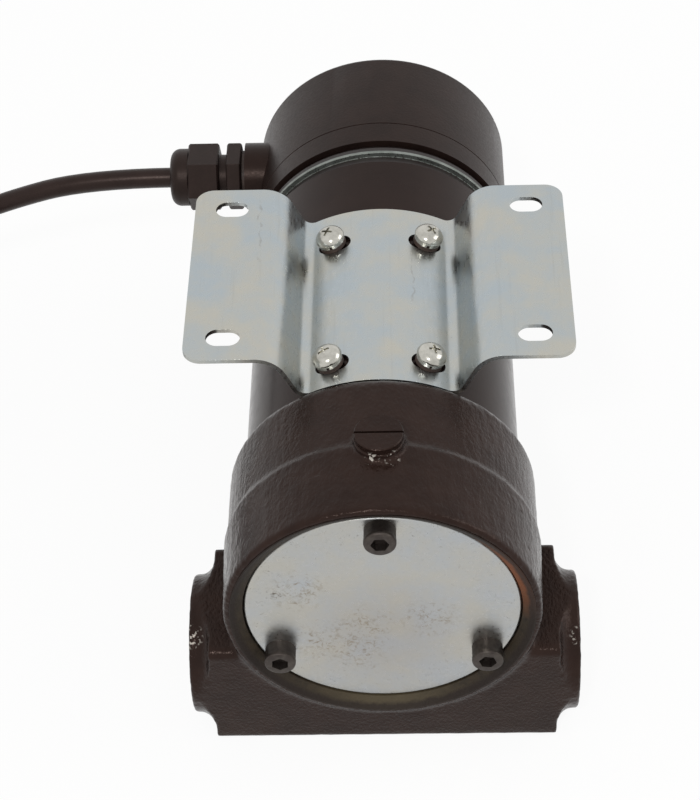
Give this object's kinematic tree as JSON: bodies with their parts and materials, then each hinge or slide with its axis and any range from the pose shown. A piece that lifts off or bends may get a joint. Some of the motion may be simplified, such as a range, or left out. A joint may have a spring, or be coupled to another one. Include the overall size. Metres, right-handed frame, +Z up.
{
  "type": "self-priming pump",
  "caption": "Self-priming vane pump: cast round pump head with side ports, bolted to a tubular direct-current motor, with a hat-shaped mounting bracket and a gland with its cord.",
  "frame": {"origin": "middle of the pump and motor seen from above, on the plane of the port block's foot", "axes": "+Y along the shaft from the pump's cover to the motor's end cap, +Z up from the foot to the bracket's pads, X through the two ports"},
  "size_m": [0.3366, 0.2326, 0.1218],
  "materials": {
    "black_paint_cast": "satin",
    "black_paint_tube": "gloss",
    "black_paint_cap": "satin",
    "bare_brass": "satin",
    "zinc_cover": "satin",
    "zinc_bracket": "satin",
    "black_oxide_steel": "satin",
    "nickel_screws": "gloss",
    "washer_rubber": "matte",
    "spring_steel": "satin",
    "rotor_iron": "satin",
    "vane_plastic": "matte",
    "bearing_steel": "gloss",
    "magnet_ferrite": "matte",
    "copper": "satin",
    "brush_carbon": "matte",
    "card_board": "matte",
    "plate_aluminium": "satin",
    "gland_nylon": "matte",
    "cord_sheath": "matte"
  },
  "bodies": {
    "pump": {"bracket_screws": "nickel_screws", "brush_card": "card_board", "brush_holders": "copper", "bypass_plug": "bare_brass", "bypass_spring": "spring_steel", "cap_screws": "nickel_screws", "coil_tie": "cord_sheath", "cord_coil": "cord_sheath", "cord_tail": "cord_sheath", "cover_o_ring": "washer_rubber", "cover_plate": "zinc_cover", "cover_screws": "black_oxide_steel", "end_cap": "black_paint_cap", "front_bearing_outer": "bearing_steel", "gland_body": "gland_nylon", "gland_nut": "gland_nylon", "gland_seal": "washer_rubber", "gland_washer": "washer_rubber", "lock_washers": "spring_steel", "lower_brush_spring": "spring_steel", "magnets": "magnet_ferrite", "motor_can": "black_paint_tube", "mounting_bracket": "zinc_bracket", "power_cord": "cord_sheath", "priming_plug": "black_paint_cast", "pump_casting": "black_paint_cast", "rear_bearing_outer": "bearing_steel", "rear_end_plate": "plate_aluminium", "ring_terminals": "bare_brass", "rubber_washers": "washer_rubber", "shaft_seal": "washer_rubber", "supply_leads": "cord_sheath", "terminal_block": "card_board", "tie_bolts": "nickel_screws", "upper_brush_spring": "spring_steel"},
    "rotor": {"pump_rotor": "rotor_iron", "rotor_key": "black_oxide_steel", "motor_shaft": "bearing_steel", "armature_core": "rotor_iron", "armature_windings": "copper", "commutator": "copper", "front_bearing_inner": "bearing_steel", "rear_bearing_inner": "bearing_steel"},
    "vane_1": {"vane_1": "vane_plastic"},
    "vane_2": {"vane_2": "vane_plastic"},
    "vane_3": {"vane_3": "vane_plastic"},
    "vane_4": {"vane_4": "vane_plastic"},
    "upper_brush": {"upper_brush": "brush_carbon"},
    "lower_brush": {"lower_brush": "brush_carbon"},
    "bypass_poppet": {"bypass_poppet": "bare_brass"}
  },
  "joints": [
    {"name": "shaft_spin", "type": "hinge", "parent": "pump", "child": "rotor", "pos_m": [0, 0, 0.0655], "axis": [0, 1, 0], "continuous": true},
    {"name": "vane_1_slide", "type": "slide", "parent": "rotor", "child": "vane_1", "axis": [0.7071, 0, 0.7071], "range_m": [0, 0.001]},
    {"name": "vane_2_slide", "type": "slide", "parent": "rotor", "child": "vane_2", "axis": [-0.7071, 0, 0.7071], "range_m": [0, 0.001]},
    {"name": "vane_3_slide", "type": "slide", "parent": "rotor", "child": "vane_3", "axis": [-0.7071, 0, -0.7071], "range_m": [0, 0.001]},
    {"name": "vane_4_slide", "type": "slide", "parent": "rotor", "child": "vane_4", "axis": [0.7071, 0, -0.7071], "range_m": [0, 0.001]},
    {"name": "upper_brush_slide", "type": "slide", "parent": "pump", "child": "upper_brush", "axis": [0, 0, 1], "range_m": [0, 0.004], "stiffness_N_per_m": 400, "springref_m": -0.012, "deforming": ["upper_brush_spring"]},
    {"name": "lower_brush_slide", "type": "slide", "parent": "pump", "child": "lower_brush", "axis": [0, 0, -1], "range_m": [0, 0.004], "stiffness_N_per_m": 400, "springref_m": -0.012, "deforming": ["lower_brush_spring"]},
    {"name": "bypass_poppet_slide", "type": "slide", "parent": "pump", "child": "bypass_poppet", "axis": [0, 0, -1], "range_m": [0, 0.0035], "stiffness_N_per_m": 2000, "springref_m": -0.005, "deforming": ["bypass_spring"]}
  ]
}
